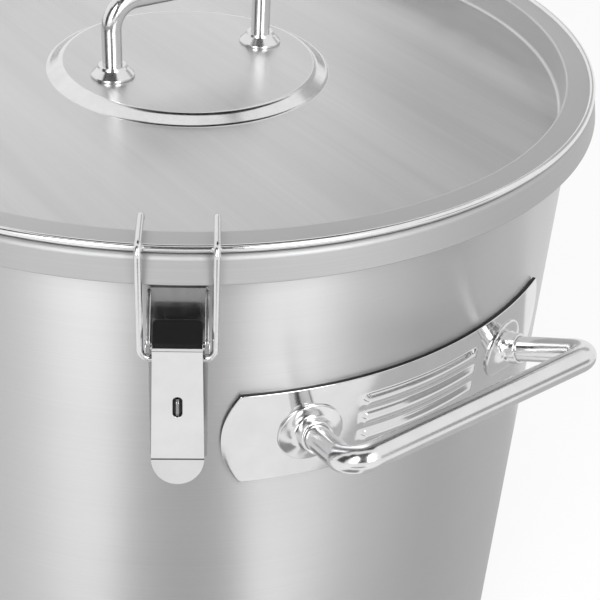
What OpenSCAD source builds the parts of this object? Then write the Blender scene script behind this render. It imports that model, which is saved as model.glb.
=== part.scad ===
// Tall stainless stock pot with a recessed lid, three toggle latches and two bar handles.
// Millimetres. The origin is the middle of the base, +Z is up and the near handle is on +X.

/* [Pot] */
// Outside diameter of the wall
pot_d = 400; // [320:5:480]
// Height from the floor to the top of the rim
pot_h = 400; // [260:5:520]
// Sheet thickness of the pot
sheet_t = 1.2; // [0.8:0.1:2]
// Outside radius of the bottom corner
base_r = 18; // [8:1:30]
// How far the top of the rim stands out from the wall
rim_out = 8.3; // [6:0.1:12]
// Radius of the rim's rounded top edge
rim_round = 3; // [2:0.1:5]
// Height of the turned-down rim band
band_h = 12.5; // [8:0.5:16]
// Extra reach of the band at its lower edge
band_flare = 2.5; // [0:0.1:3]

/* [Lid] */
// Sheet thickness of the lid
lid_t = 1; // [0.8:0.1:1.5]
// Depth of the lid's disc below the rim
lid_recess = 13; // [8:0.5:20]
// Width of the lid's flat flange, with its bead
flange_w = 14.7; // [12:0.1:18]
// Radius of the round bead on the lid's edge
bead_r = 1.6; // [1.2:0.1:2]
// How far the bead stands above the flange
bead_up = 1.3; // [0.8:0.1:1.4]
// Diameter of the raised centre at its foot
centre_d = 145; // [130:1:170]
// Height of the raised centre
centre_h = 4; // [2:0.5:8]
// Width of the sloping edge of the raised centre
centre_slope = 6; // [2:0.5:10]
// Thickness of the gasket
gasket_t = 1.2; // [0.8:0.1:2]
// Width of the gasket
gasket_w = 5; // [3:0.1:6]

/* [Lid grip] */
// Diameter of the lid grip's rod
grip_d = 10; // [8:0.5:12]
// Distance between the legs of the lid grip
grip_span = 90; // [70:1:100]
// Height of the lid grip's middle line above the raised centre
grip_h = 38; // [32:1:50]
// Bend radius of the lid grip's middle line
grip_bend = 14; // [8:1:16]
// Diameter of the screws under the lid grip
screw_d = 4.8; // [4:0.1:6]

/* [Handles] */
// Diameter of the handle rod
bar_d = 12; // [10:0.5:14]
// Distance between the feet of a handle
bar_span = 116; // [104:0.5:124]
// Length of a leg's middle line, from the plate to the grip's middle line
bar_leg = 50; // [42:0.5:58]
// Upward tilt of the handle
bar_tilt = 24; // [10:1:28]
// Bend radius of the handle rod's middle line
bar_bend = 9; // [9:0.75:15]
// Distance from the top of the rim down to the handle's middle
handle_drop = 99; // [85:0.5:120]
// Overall width of the handle plate
plate_w = 190; // [178:1:204]
// Height of the handle plate
plate_h = 48; // [40:1:60]
// Thickness of the handle plate
plate_t = 2; // [1.5:0.1:3]
// Radius of the plate's round ends
plate_end_r = 43; // [32:1:60]
// Number of pressed ribs on the plate
rib_count = 3; // [1:1:3]
// Distance between rib middles
rib_pitch = 10; // [9:0.5:12]
// Height of a rib's base on the plate
rib_w = 8; // [5:0.5:8.5]
// How far a rib stands out
rib_rise = 1.8; // [1:0.1:2]
// Distance from a rib's end to the ferrule's foot
rib_gap = 8.6; // [6:0.2:16]
// Diameter of a ferrule's flared foot
foot_d = 30; // [26:0.5:32]
// Height of the flared foot
foot_h = 3.5; // [2.5:0.5:5]
// Diameter of a ferrule's collar
collar_d = 15; // [14.5:0.5:18]
// Length of a ferrule, from the plate to the end of its collar
collar_h = 10.5; // [9:0.5:14]

/* [Latches] */
// Turn of the first latch from the near handle
latch_turn = -33.1; // [-36:0.1:-32.5]
// Width of the bracket
bracket_w = 24.5; // [24.5:0.1:25]
// Sheet thickness of the bracket and lever
latch_t = 1.5; // [1:0.1:1.8]
// Distance from the rim top down to the bracket's top edge
bracket_drop = 19.2; // [16:0.1:24]
// Length of the bracket
bracket_len = 88; // [70:1:100]
// Distance from the rim top down to the pivot pin
pivot_drop = 39.3; // [37:0.1:44]
// Diameter of the pivot pin
pin_d = 3.6; // [3:0.1:4]
// Width of the lever at its top
lever_w = 20; // [18:0.1:20]
// Width of the lever at its fold
lever_foot_w = 22.2; // [20:0.1:24]
// Distance from the pivot down to the lever's fold
lever_len = 55.4; // [50:0.1:70]
// Outward bend of the finger tab
tab_bend = 22; // [10:1:35]
// Length of the padlock slot
slot_l = 10.4; // [9:0.1:14]
// Width of the padlock slot
slot_w = 4; // [3:0.1:6]
// Distance from the pivot down to the middle of the slot
slot_drop = 27.7; // [25:0.1:34]
// Thickness of the padlock tongue
tongue_t = 1.2; // [1:0.1:1.6]
// Diameter of the bail wire
wire_d = 3; // [2.5:0.1:3]
// Distance between the two wires of the bail
bail_w = 30; // [30:0.1:34]
// Distance from the pivot down to the bail's cross wire
bail_drop = 6.5; // [6.2:0.1:9]
// How far the cross wire sits inside the pivot
over_centre = 0.8; // [0.4:0.1:1.2]
// How far the hooks reach past the flange's inner edge
hook_past = 8.5; // [8:0.1:10]
// Bend radius of the turned-down hook end
tip_bend = 4.5; // [3:0.1:5]
// Angle of the turned-down hook end
hook_dip = 75; // [30:1:75]

/* [Clearances] */
// Gap where a flat or bent sheet is welded to the wall
seat_gap = 0.3; // [0.2:0.05:0.4]
// Gap between pieces that are pressed or welded together
joint_gap = 0.05; // [0.03:0.01:0.1]
// Running gap around the pivot pin and the bail wire
run_gap = 0.06; // [0.03:0.01:0.1]
// Gap between the bail and the rim or lid
bail_gap = 0.35; // [0.3:0.05:0.6]

/* [Hidden] */
$fn = 96;
wall_fn = 480;
latch_count = 3;
slack = 1;

// Pot and lid, as radii and heights
wall_r = pot_d / 2;
rim_r = wall_r + rim_out;
inner_r = wall_r - sheet_t;
flange_z = pot_h + gasket_t + 2 * joint_gap;
step_r = rim_r - flange_w;
disc_z = pot_h - lid_recess;
centre_z = disc_z + centre_h;
centre_r = centre_d / 2;
bead_z = flange_z + lid_t - bead_r + bead_up;

// Lid grip
washer_t = 1.2;
washer_d = 14;
head_d = 9;
head_h = 3;
thread_depth = 10;
hole_room = 0.6;
screw_hole_d = screw_d + hole_room;
grip_foot_d = 22;
grip_foot_h = 6;
grip_collar_t = 2;

// Handles, in a frame with its middle on the wall's axis at the handle's height
handle_z = pot_h - handle_drop;
plate_in = wall_r + seat_gap;
plate_out = plate_in + plate_t;
boss_turn = asin(bar_span / 2 / plate_out);
boss_x = plate_out * cos(boss_turn);
rib_half = asin((bar_span / 2 - foot_d / 2 - rib_gap) / plate_out);
leg_root = 2 * foot_h;
splay_out = 0.96;
splay_side = 0.28;
leg_splay = asin(splay_side);
bend_l = bar_bend * (1 + splay_side) / splay_out;
bar_reach = bar_leg * splay_out;
grip_half = bar_span / 2 + bar_leg * splay_side - bend_l;
foot_lip = 1;
rib_circle = (rib_w * rib_w / 4 + rib_rise * rib_rise) / (2 * rib_rise);
rib_centre = plate_out + rib_rise - rib_circle;

// Latch, as distances from the pot's axis and heights
wire_r = wire_d / 2;
cross_x = rim_r + band_flare + bail_gap + wire_r;
pivot_x = cross_x + over_centre;
pivot_z = pot_h - pivot_drop;
cross_z = pivot_z - bail_drop;
bracket_x = wall_r + seat_gap;
ear_r = 3.5;
ear_root_up = pivot_drop - bracket_drop - slack;
ear_root_down = 6;
pin_head_t = 0.7;
pin_head_r = 3;
curl_r = 4;
plate_face = pivot_x + curl_r;
tab_reach = 10;
curl_end = [0.6, 0.8];
tab_way = [-0.8, 0.6];
tab_inset = 0.4;
fold_z = pivot_z - lever_len;
slot_z = pivot_z - slot_drop;
tongue_room = 0.8;
tongue_h = slot_l - 2 * tongue_room;
tongue_past = 1.8;
cheek_r = 3.2;
corner_bend = 4.5;
hook_bend = 4;
hook_z = bead_z + bead_r + bail_gap + wire_r;
upright_h = hook_z - hook_bend - cross_z;
hook_reach = cross_x - hook_bend - tip_bend * sin(hook_dip) - (step_r - hook_past);

// Straight round rod along +X
module rod(length, r) {
    rotate([0, 90, 0]) cylinder(h = length, r = r);
}

// Part of a turn of round rod about Z, from +X towards +Y
module rod_bend(bend, turn, r) {
    rotate_extrude(angle = turn)
        translate([bend, 0])
            circle(r);
}

// U of round rod in the XY plane: legs along +X from -root, and a cross piece at x = reach
module rod_u(span, root, reach, bend, r) {
    for (side = [-1, 1]) {
        translate([-root, side * span / 2, 0]) rod(root + reach - bend, r);
        translate([reach - bend, side * (span / 2 - bend), 0])
            rotate([0, 0, side < 0 ? -90 : 0])
                rod_bend(bend, 90, r);
    }
    translate([reach, bend - span / 2, 0]) rotate([0, 0, 90]) rod(span - 2 * bend, r);
}

// Points along an arc, for outlines
function arc(x, z, r, from, to, steps = 10) =
    [for (i = [0:steps])
        let (turn = from + (to - from) * i / steps)
        [x + r * cos(turn), z + r * sin(turn)]];

// Half section of the pot: outside of the wall, rim and band, then back down the inside
module pot_outline() {
    corner_x = wall_r - base_r;
    round_x = rim_r - rim_round;
    round_z = pot_h - rim_round;
    foot_x = rim_r + band_flare;
    foot_z = pot_h - band_h;
    polygon(concat(
        [[0, 0]],
        arc(corner_x, base_r, base_r, -90, 0),
        [[wall_r, pot_h - sheet_t]],
        arc(round_x, round_z, rim_round - sheet_t, 90, 0),
        [[foot_x - sheet_t, foot_z], [foot_x, foot_z]],
        arc(round_x, round_z, rim_round, 0, 90),
        [[inner_r, pot_h]],
        arc(corner_x, base_r, base_r - sheet_t, 0, -90),
        [[0, sheet_t]]));
}

module pot_shell() {
    color("silver")
        rotate_extrude() pot_outline();
}

// Half section of the lid: top from the middle out to the bead, then back along the underside
module lid_outline() {
    top_r = centre_r - centre_slope;
    edge_r = rim_r - bead_r;
    under_z = disc_z - lid_t;
    top_turn = 180 - asin((flange_z + lid_t - bead_z) / bead_r);
    under_turn = asin((bead_z - flange_z) / bead_r) - 180;
    polygon(concat(
        [[0, centre_z], [top_r, centre_z], [centre_r, disc_z], [step_r, disc_z], [step_r, flange_z + lid_t]],
        arc(edge_r, bead_z, bead_r, top_turn, under_turn, 24),
        [[step_r + lid_t, flange_z], [step_r + lid_t, under_z], [centre_r, under_z],
         [top_r, centre_z - lid_t], [0, centre_z - lid_t]]));
}

// Copies for the two legs of the lid grip
module each_grip_leg() {
    for (side = [-1, 1])
        translate([0, side * grip_span / 2, centre_z]) children();
}

module lid() {
    color("gainsboro")
        difference() {
            rotate_extrude() lid_outline();
            each_grip_leg()
                translate([0, 0, -lid_t - slack]) cylinder(h = lid_t + 2 * slack, d = screw_hole_d);
        }
}

module lid_gasket() {
    gasket_r = rim_r - rim_round - joint_gap;
    color("whitesmoke")
        translate([0, 0, pot_h + joint_gap])
            difference() {
                cylinder(h = gasket_t, r = gasket_r);
                translate([0, 0, -slack]) cylinder(h = gasket_t + 2 * slack, r = gasket_r - gasket_w);
            }
}

module lid_grip() {
    color("silver")
        difference() {
            translate([0, 0, centre_z + joint_gap])
                rotate([0, -90, 0])
                    rod_u(grip_span, 0, grip_h, grip_bend, grip_d / 2);
            each_grip_leg()
                translate([0, 0, -slack])
                    cylinder(h = thread_depth + 2 * slack, d = screw_d + 2 * joint_gap);
        }
}

module lid_grip_ferrules() {
    color("silver")
        each_grip_leg()
            translate([0, 0, joint_gap])
                difference() {
                    cylinder(h = grip_foot_h, d1 = grip_foot_d, d2 = grip_d + 2 * grip_collar_t);
                    translate([0, 0, -slack])
                        cylinder(h = grip_foot_h + 2 * slack, d = grip_d + 2 * joint_gap);
                }
}

module lid_grip_washers() {
    color("silver")
        each_grip_leg()
            translate([0, 0, -lid_t - joint_gap - washer_t])
                difference() {
                    cylinder(h = washer_t, d = washer_d);
                    translate([0, 0, -slack]) cylinder(h = washer_t + 2 * slack, d = screw_hole_d);
                }
}

module lid_grip_screws() {
    head_top = -lid_t - 2 * joint_gap - washer_t;
    color("silver")
        each_grip_leg() {
            translate([0, 0, head_top - head_h]) cylinder(h = head_h, d = head_d);
            translate([0, 0, head_top]) cylinder(h = thread_depth - head_top, d = screw_d);
        }
}

// Both handles share these shapes, drawn on +X at the handle's height
module plate_outline() {
    end_y = plate_w / 2 - plate_end_r;
    intersection() {
        square([plate_w + 2 * slack, plate_h], center = true);
        union() {
            square([2 * end_y, plate_h], center = true);
            for (side = [-1, 1])
                translate([side * end_y, 0]) circle(plate_end_r);
        }
    }
}

module plate_sheet() {
    intersection() {
        cylinder(h = plate_h, r = plate_out, center = true, $fn = wall_fn);
        rotate([90, 0, 90]) linear_extrude(plate_out + slack) plate_outline();
    }
}

// Pressed rib: a shallow round ridge that follows the plate
module plate_rib(z) {
    translate([0, 0, z])
        rotate([0, 0, -rib_half])
            rotate_extrude(angle = 2 * rib_half)
                intersection() {
                    translate([rib_centre, 0]) circle(rib_circle);
                    translate([plate_out - plate_t / 2, -rib_w]) square([rib_w, 2 * rib_w]);
                }
}

module handle_plate() {
    difference() {
        plate_sheet();
        cylinder(h = plate_h + 2 * slack, r = plate_in, center = true, $fn = wall_fn);
    }
    for (i = [0:rib_count - 1])
        plate_rib((i - (rib_count - 1) / 2) * rib_pitch);
}

// Lays the XY plane in the plane of a handle's rod, from the plate's face
module on_bar() {
    translate([boss_x, 0, 0]) rotate([0, -bar_tilt, 0]) children();
}

// Turns +X into the line of one leg, which stands about square to the wall as seen from above
module on_leg(side) {
    translate([0, side * bar_span / 2, 0]) rotate([0, 0, side * leg_splay]) children();
}

// Bend from the grip, at +X, round to the line of a leg
module grip_bend_piece() {
    intersection() {
        rod_bend(bar_bend, 180, bar_d / 2);
        rotate([0, 0, leg_splay])
            translate([0, -2 * bar_bend, -bar_bend])
                cube([4 * bar_bend, 4 * bar_bend, 2 * bar_bend]);
    }
}

module handle_rod() {
    for (side = [-1, 1]) {
        on_leg(side) translate([-leg_root, 0, 0]) rod(leg_root + bar_leg - bend_l, bar_d / 2);
        translate([bar_reach - bar_bend, side * grip_half, 0])
            rotate([0, 0, side < 0 ? -90 - leg_splay : 0])
                grip_bend_piece();
    }
    translate([bar_reach, -grip_half, 0]) rotate([0, 0, 90]) rod(2 * grip_half, bar_d / 2);
}

// Space taken by the handle plate, for cutting the feet that stand on it
module plate_space() {
    cylinder(h = 2 * plate_h, r = plate_out + joint_gap, center = true, $fn = wall_fn);
}

module handle_bar() {
    difference() {
        on_bar() handle_rod();
        plate_space();
    }
}

// Flared foot, square to the plate
module ferrule_foot() {
    rotate([0, 90, 0])
        rotate_extrude()
            polygon([[0, -foot_h], [foot_d / 2, -foot_h], [foot_d / 2, 0],
                [collar_d / 2 + foot_lip, foot_h], [0, foot_h]]);
}

module handle_ferrule(side) {
    difference() {
        union() {
            rotate([0, 0, side * boss_turn]) translate([plate_out, 0, 0]) ferrule_foot();
            on_bar() on_leg(side) translate([-leg_root, 0, 0]) rod(leg_root + collar_h, collar_d / 2);
        }
        on_bar() on_leg(side) translate([-leg_root, 0, 0]) rod(2 * bar_leg, bar_d / 2 + joint_gap);
        plate_space();
    }
}

// Places a handle's pieces: near is on +X, far is half a turn round
module on_handle(turn) {
    rotate([0, 0, turn]) translate([0, 0, handle_z]) children();
}

module near_handle_plate() {
    color("gainsboro") on_handle(0) handle_plate();
}

module near_handle_bar() {
    color("silver") on_handle(0) handle_bar();
}

module near_handle_ferrules() {
    color("silver") on_handle(0) for (side = [-1, 1]) handle_ferrule(side);
}

module far_handle_plate() {
    color("gainsboro") on_handle(180) handle_plate();
}

module far_handle_bar() {
    color("silver") on_handle(180) handle_bar();
}

module far_handle_ferrules() {
    color("silver") on_handle(180) for (side = [-1, 1]) handle_ferrule(side);
}

// Latches are drawn on +X and turned to their places: one on +Y, and one either side of it by the near
// end of a handle plate
module on_latch(i) {
    rotate([0, 0, 90 + (i - 1) * (90 - latch_turn)]) children();
}

// Extrudes an outline drawn in the upright plane through the pot's axis, centred across the latch
module across(width) {
    rotate([90, 0, 0]) linear_extrude(width, center = true) children();
}

module ear_outline() {
    translate([pivot_x, pivot_z]) circle(ear_r);
    polygon([[bracket_x, pivot_z - ear_root_down], [pivot_x, pivot_z - ear_r],
             [pivot_x, pivot_z + ear_r], [bracket_x, pivot_z + ear_root_up]]);
}

module latch_bracket(i) {
    ear_y = (bracket_w - latch_t) / 2;
    tongue_l = plate_face + tongue_past - bracket_x;
    color("silver")
        on_latch(i)
            difference() {
                union() {
                    translate([bracket_x, -bracket_w / 2, pot_h - bracket_drop - bracket_len])
                        cube([latch_t, bracket_w, bracket_len]);
                    for (side = [-1, 1])
                        translate([0, side * ear_y, 0]) across(latch_t) ear_outline();
                    translate([bracket_x, -tongue_t / 2, slot_z - tongue_h / 2])
                        cube([tongue_l, tongue_t, tongue_h]);
                }
                translate([pivot_x, 0, pivot_z])
                    rotate([90, 0, 0])
                        cylinder(h = bracket_w + slack, r = pin_d / 2 + joint_gap, center = true);
            }
}

module latch_pin(i) {
    head_y = bracket_w / 2 + joint_gap;
    color("silver")
        on_latch(i)
            translate([pivot_x, 0, pivot_z])
                rotate([90, 0, 0]) {
                    cylinder(h = 2 * head_y, d = pin_d, center = true);
                    for (side = [-1, 1])
                        translate([0, 0, side * (head_y + pin_head_t / 2)])
                            cylinder(h = pin_head_t, r = pin_head_r, center = true);
                }
}

// Front face of the lever, drawn flat with the pivot's height as its top
module lever_face() {
    difference() {
        polygon([[-lever_w / 2, pivot_z], [lever_w / 2, pivot_z],
                 [lever_foot_w / 2, fold_z], [-lever_foot_w / 2, fold_z]]);
        for (end = [-1, 1])
            translate([0, slot_z + end * (slot_l - slot_w) / 2]) circle(d = slot_w);
        translate([-slot_w / 2, slot_z - (slot_l - slot_w) / 2]) square([slot_w, slot_l - slot_w]);
    }
}

// Half-round finger tab, drawn hanging from the fold
module finger_tab() {
    intersection() {
        circle(d = lever_foot_w - tab_inset);
        translate([-lever_foot_w / 2, -lever_foot_w]) square(lever_foot_w);
    }
}

// Stands a flat outline upright, with its back on the lever plate's inner face
module lever_sheet() {
    translate([plate_face - latch_t, 0, 0])
        rotate([90, 0, 90])
            linear_extrude(latch_t) children();
}

module lever_curl() {
    across(lever_w)
        translate([pivot_x, pivot_z])
            intersection() {
                difference() {
                    circle(curl_r);
                    circle(curl_r - latch_t);
                }
                polygon([[0, 0], [2 * curl_r, 0], 2 * curl_r * curl_end]);
            }
    across(lever_w)
        translate([pivot_x, pivot_z])
            polygon([curl_r * curl_end, curl_r * curl_end + tab_reach * tab_way,
                (curl_r - latch_t) * curl_end + tab_reach * tab_way, (curl_r - latch_t) * curl_end]);
}

module cheek_outline() {
    difference() {
        union() {
            translate([pivot_x, pivot_z]) circle(cheek_r);
            translate([cross_x, cross_z]) circle(cheek_r);
            translate([cross_x - cheek_r, cross_z])
                square([plate_face - latch_t / 2 - cross_x + cheek_r, bail_drop]);
        }
        translate([pivot_x, pivot_z]) circle(pin_d / 2 + run_gap);
        translate([cross_x, cross_z]) circle(wire_r + run_gap);
    }
}

module latch_lever(i) {
    color("whitesmoke")
        on_latch(i) {
            lever_sheet() lever_face();
            translate([plate_face - latch_t, 0, fold_z])
                rotate([0, -tab_bend, 0])
                    translate([latch_t - plate_face, 0, 0])
                        lever_sheet() finger_tab();
            lever_curl();
            for (side = [-1, 1])
                translate([0, side * (lever_w - latch_t) / 2, 0]) across(latch_t) cheek_outline();
        }
}

// Hooked end of the bail, on one wire from the top of its upright
module bail_hook() {
    translate([-hook_bend, 0, 0]) {
        rotate([90, 0, 0]) rod_bend(hook_bend, 90, wire_r);
        translate([-hook_reach, 0, hook_bend]) {
            rod(hook_reach, wire_r);
            translate([0, 0, -tip_bend])
                rotate([90, 0, 0])
                    rotate([0, 0, 90]) rod_bend(tip_bend, hook_dip, wire_r);
        }
    }
}

module latch_bail(i) {
    color("silver")
        on_latch(i)
            translate([cross_x, 0, cross_z]) {
                rotate([0, 90, 0]) rod_u(bail_w, upright_h, 0, corner_bend, wire_r);
                for (side = [-1, 1])
                    translate([0, side * bail_w / 2, upright_h]) bail_hook();
            }
}

pot_shell();
lid();
lid_gasket();
lid_grip();
lid_grip_ferrules();
lid_grip_washers();
lid_grip_screws();
near_handle_plate();
near_handle_bar();
near_handle_ferrules();
far_handle_plate();
far_handle_bar();
far_handle_ferrules();
for (i = [0:latch_count - 1]) {
    latch_bracket(i);
    latch_pin(i);
    latch_lever(i);
    latch_bail(i);
}
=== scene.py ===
from math import asin, atan2, cos, pi, radians, sin, sqrt, tan

import bmesh
import bpy
from mathutils import Matrix, Quaternion, Vector


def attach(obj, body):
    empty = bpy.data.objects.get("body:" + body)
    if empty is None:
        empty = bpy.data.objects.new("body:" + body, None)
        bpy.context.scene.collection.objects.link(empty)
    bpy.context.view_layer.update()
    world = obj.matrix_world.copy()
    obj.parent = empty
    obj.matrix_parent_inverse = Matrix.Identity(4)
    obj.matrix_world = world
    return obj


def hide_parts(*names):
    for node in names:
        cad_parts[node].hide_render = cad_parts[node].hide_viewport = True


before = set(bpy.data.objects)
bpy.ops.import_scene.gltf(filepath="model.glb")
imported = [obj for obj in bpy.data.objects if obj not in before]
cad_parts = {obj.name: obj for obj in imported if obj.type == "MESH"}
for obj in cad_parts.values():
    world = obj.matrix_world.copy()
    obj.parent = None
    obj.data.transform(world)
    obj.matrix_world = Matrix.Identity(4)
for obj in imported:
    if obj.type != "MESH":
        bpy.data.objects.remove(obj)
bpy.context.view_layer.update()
mm = 0.001
photoSide = 600
zAxis = Vector((0, 0, 1))
weldGap = 0.002 * mm  # vertices nearer than this become one
spinSense = -1  # spin turns clockwise for a positive angle
bendStep = 7.5  # degrees of a bend from ring to ring of a swept rod


# everyday moves

def settle():
    if bpy.context.mode != "OBJECT":
        bpy.ops.object.mode_set(mode="OBJECT")
    bpy.ops.object.select_all(action="DESELECT")


def choose(piece):
    settle()
    piece.select_set(True)
    bpy.context.view_layer.objects.active = piece


def openNew(name):  # the fresh primitive, its place put in its mesh, open for editing
    piece = bpy.context.object
    piece.name = name
    piece.data.name = name
    bpy.ops.object.transform_apply(location=True, rotation=True, scale=True)
    bpy.ops.object.mode_set(mode="EDIT")
    bpy.ops.mesh.select_mode(type="VERT")
    bpy.ops.mesh.select_all(action="SELECT")
    return piece


def pick(piece, kind, test):  # selects the verts that pass the test, or the edges between such verts
    bpy.ops.mesh.select_mode(type=kind)
    bpy.ops.mesh.select_all(action="DESELECT")
    mesh = bmesh.from_edit_mesh(piece.data)
    if kind == "VERT":
        chosen = [v for v in mesh.verts if test(v.co / mm)]
    else:
        chosen = [e for e in mesh.edges if all(test(v.co / mm) for v in e.verts)]
    for item in chosen:
        item.select = True
    mesh.select_flush_mode()
    bmesh.update_edit_mesh(piece.data)


def push(x=0, y=0, z=0):  # extrudes what is selected by that many millimetres
    bpy.ops.mesh.extrude_region_move(
        TRANSFORM_OT_translate={"value": (x * mm, y * mm, z * mm)})


def weld():
    bpy.ops.mesh.select_all(action="SELECT")
    bpy.ops.mesh.remove_doubles(threshold=weldGap)
    bpy.ops.mesh.normals_make_consistent(inside=False)


def faceOutward(sheet):  # an open sheet, turned so that its largest face looks away from the pot
    bpy.ops.mesh.select_all(action="SELECT")
    bpy.ops.mesh.normals_make_consistent(inside=False)
    front = max(bmesh.from_edit_mesh(sheet.data).faces, key=lambda f: f.calc_area())
    if front.normal.x < 0:
        bpy.ops.mesh.flip_normals()


def modify(piece, kind, **settings):
    choose(piece)
    bpy.ops.object.modifier_add(type=kind)
    modifier = piece.modifiers[-1]
    for key, value in settings.items():
        setattr(modifier, key, value)
    bpy.ops.object.modifier_apply(modifier=modifier.name)


def softenEdges(piece, width, segments, above):
    modify(piece, "BEVEL", width=width * mm, segments=segments, limit_method="ANGLE",
           angle_limit=radians(above), harden_normals=False, use_clamp_overlap=True)


def smooth(piece, angle=32):
    choose(piece)
    bpy.ops.object.shade_smooth_by_angle(angle=radians(angle))
    modify(piece, "WEIGHTED_NORMAL", mode="FACE_AREA", weight=50, keep_sharp=True)  # keeps flats flat


def joinPieces(pieces):
    choose(pieces[0])
    for piece in pieces[1:]:
        piece.select_set(True)
    bpy.ops.object.join()
    return bpy.context.object


def placeAt(piece, where, turned):
    piece.rotation_euler = turned
    piece.location = where
    choose(piece)
    bpy.ops.object.transform_apply(location=True, rotation=True, scale=True)


def copyTurned(piece, name, turn):  # a copy with its own mesh, turned about the pot's axis
    choose(piece)
    bpy.ops.object.duplicate(linked=False)
    other = bpy.context.object
    other.name = name
    other.data.name = name
    placeAt(other, (0, 0, 0), (0, 0, turn))
    return other


def scrap(piece):
    choose(piece)
    bpy.ops.object.delete()


def handIn(piece, finish, body, slot, *nodes):
    settle()
    piece.data.materials.clear()
    piece.data.materials.append(finish)
    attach(piece, body)
    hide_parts(*nodes)


def coatFaces(piece, finish, test, turn=0):  # another finish on the faces whose middle and normal pass
    piece.data.materials.append(finish)
    back = Matrix.Rotation(-turn, 3, "Z")
    for face in piece.data.polygons:
        if test(back @ face.center / mm, back @ face.normal):
            face.material_index = len(piece.data.materials) - 1


def roundedLine(corners, steps=6):  # corners are (x, z) or (x, z, radius); gives the line with its arcs
    line = []
    for i, corner in enumerate(corners):
        if len(corner) < 3:
            line.append(Vector(corner))
            continue
        here = Vector(corner[:2])
        back = (Vector(corners[i - 1][:2]) - here).normalized()
        ahead = (Vector(corners[(i + 1) % len(corners)][:2]) - here).normalized()
        half = back.angle(ahead) / 2
        middle = here + (back + ahead).normalized() * corner[2] / sin(half)
        first = here + back * corner[2] / tan(half) - middle
        last = here + ahead * corner[2] / tan(half) - middle
        swing = first.angle_signed(last)
        for k in range(steps + 1):
            line.append(middle + Matrix.Rotation(-swing * k / steps, 2) @ first)
    return line


def drawLine(name, line):  # a closed wire in the XZ plane, one vertex after another
    settle()
    bpy.ops.mesh.primitive_plane_add(size=mm, location=(line[0][0] * mm, 0, line[0][1] * mm))
    piece = openNew(name)
    bpy.ops.mesh.merge(type="CENTER")
    for a, b in zip(line, line[1:]):
        push(x=b[0] - a[0], z=b[1] - a[1])
    push(x=line[0][0] - line[-1][0], z=line[0][1] - line[-1][1])
    bpy.ops.mesh.select_all(action="SELECT")
    bpy.ops.mesh.remove_doubles(threshold=weldGap)
    return piece


def cutSheet(name, line, start, thick):  # a flat piece with that outline, from y = start on
    piece = drawLine(name, line)
    bpy.ops.mesh.edge_face_add()
    bpy.ops.transform.translate(value=(0, start * mm, 0))
    push(y=thick)
    weld()
    return piece


def turnUp(name, corners, steps, arcSteps=6):  # a closed half section spun round the pot's axis
    piece = drawLine(name, roundedLine(corners, arcSteps))
    bpy.ops.mesh.select_all(action="SELECT")
    bpy.ops.mesh.spin(steps=steps, angle=2 * pi, center=(0, 0, 0), axis=(0, 0, 1))
    weld()
    return piece


def sweepRod(name, start, heading, radius, sides, moves):  # moves: (length,) or (axis, bend, degrees)
    settle()
    point = Vector(start)
    heading = Vector(heading).normalized()
    bpy.ops.mesh.primitive_circle_add(
        vertices=sides, radius=radius * mm, fill_type="NGON", location=point * mm,
        rotation=heading.to_track_quat("Z", "Y").to_euler())
    piece = openNew(name)
    for move in moves:
        if len(move) == 1:
            push(*(heading * move[0]))
            point = point + heading * move[0]
            continue
        axis, bend, angle = Vector(move[0]), move[1], radians(move[2])
        side = axis.cross(heading).normalized() * (1 if angle > 0 else -1)
        middle = point + side * bend
        bpy.ops.mesh.spin(steps=max(3, round(abs(move[2]) / bendStep)), angle=angle * spinSense,
                          center=middle * mm, axis=axis)
        turn = Matrix.Rotation(angle, 3, axis)
        point = middle + turn @ (point - middle)
        heading = turn @ heading
    weld()
    return piece


# finishes

texture = {"low": 0.25, "high": 0.75, "noiseRough": 0.6, "cloud": (9, 9, 9), "lineShare": 0.7, "lineDetail": 4,
           "softDetail": 3, "markDetail": 2, "bands": (2, 34, 2), "lines": (5, 900, 5), "lineMix": 0.18,
           "lineDepth": 0.006, "lineBump": 0.1, "haze": (60, 60, 60), "hazeBump": 0.25, "marks": (900, 900, 900),
           "rubber": (700, 700, 700), "rubberDepth": 0.03, "rubberBump": 0.3, "acrossGrain": 0.25}


def grey(level, blue=0):
    return level, level, level + blue


def newFinish(name, colour, rough, aniso=0):
    finish = bpy.data.materials.new(name)
    finish.use_nodes = True
    shader = finish.node_tree.nodes["Principled BSDF"]
    shader.inputs["Base Color"].default_value = (*colour, 1)
    shader.inputs["Metallic"].default_value = 1
    shader.inputs["Roughness"].default_value = rough
    shader.inputs["Anisotropic"].default_value = aniso
    return finish, finish.node_tree.nodes, finish.node_tree.links, shader


def stretchedNoise(nodes, links, scale, detail):  # noise on object coordinates
    place = nodes.new("ShaderNodeTexCoord")
    mapping = nodes.new("ShaderNodeMapping")
    mapping.inputs["Scale"].default_value = scale
    noise = nodes.new("ShaderNodeTexNoise")
    noise.inputs["Scale"].default_value = 1
    noise.inputs["Detail"].default_value = detail
    noise.inputs["Roughness"].default_value = texture["noiseRough"]
    links.new(place.outputs["Object"], mapping.inputs["Vector"])
    links.new(mapping.outputs["Vector"], noise.inputs["Vector"])
    return noise.outputs["Fac"]


def spread(nodes, links, value, low, high):  # noise to a range of numbers
    ranged = nodes.new("ShaderNodeMapRange")
    ranged.inputs["From Min"].default_value = texture["low"]
    ranged.inputs["From Max"].default_value = texture["high"]
    ranged.inputs["To Min"].default_value = low
    ranged.inputs["To Max"].default_value = high
    links.new(value, ranged.inputs["Value"])
    return ranged.outputs["Result"]


def tint(nodes, links, value, dark, light):
    mix = nodes.new("ShaderNodeMix")
    mix.data_type = "RGBA"
    mix.inputs[6].default_value = (*dark, 1)
    mix.inputs[7].default_value = (*light, 1)
    links.new(value, mix.inputs[0])
    return mix.outputs[2]


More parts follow.
